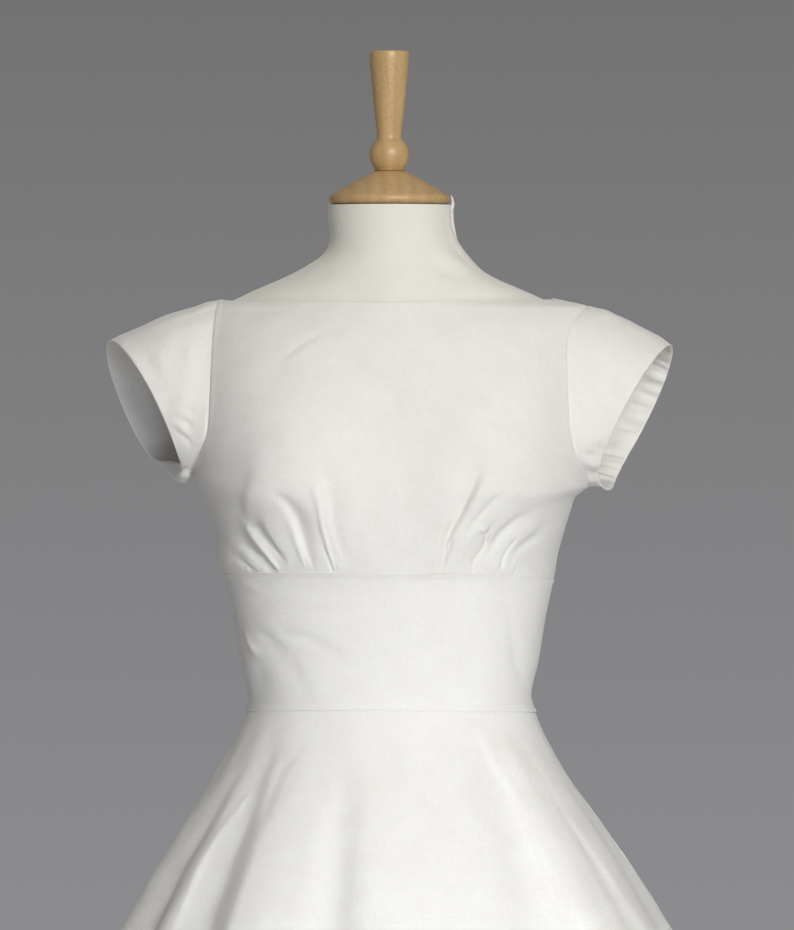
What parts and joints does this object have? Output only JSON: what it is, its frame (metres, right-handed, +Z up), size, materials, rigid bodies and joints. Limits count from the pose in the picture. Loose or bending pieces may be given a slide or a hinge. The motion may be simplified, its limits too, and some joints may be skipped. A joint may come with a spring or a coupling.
{
  "type": "fit and flare dress on dress form",
  "caption": "Fit and flare dress with a boat neckline, flared cap sleeves, tucked bodice and deep midriff band, on a limbless dress form with a turned handle and a disc-based stand.",
  "frame": {"origin": "centre of the underside of the stand's round base, which is also below the form's neck", "axes": "+Z up, -Y towards the dress's front, +X towards the wearer's left, the picture's right"},
  "size_m": [0.8589, 0.8184, 1.6019],
  "materials": {
    "linen": "warm off-white plain-weave linen, matt",
    "jersey": "ivory knitted jersey, matt, stretched over the form",
    "beech": "turned beech with a satin varnish",
    "enamel": "small zip parts enamelled to match the cloth"
  },
  "bodies": {
    "dress_and_form": {"bodice_front": "linen", "bodice_back_left": "linen", "bodice_back_right": "linen", "midriff_front": "linen", "midriff_back_left": "linen", "midriff_back_right": "linen", "skirt_front": "linen", "skirt_back_left": "linen", "skirt_back_right": "linen", "sleeve_left": "linen", "sleeve_right": "linen", "form_torso": "jersey", "form_neck_cap": "beech", "form_handle": "beech", "form_base_plate": "beech", "stand_collar": "beech", "stand_pole": "beech", "stand_base": "beech", "zip_slider": "enamel"},
    "pull_tab": {"zip_pull_tab": "enamel"}
  },
  "joints": [
    {"name": "pull_tab_hinge", "type": "hinge", "parent": "dress_and_form", "child": "pull_tab", "pos_m": [0, 0.09978, 1.37154], "axis": [1, 0, 0], "range_deg": [0, 150]}
  ]
}
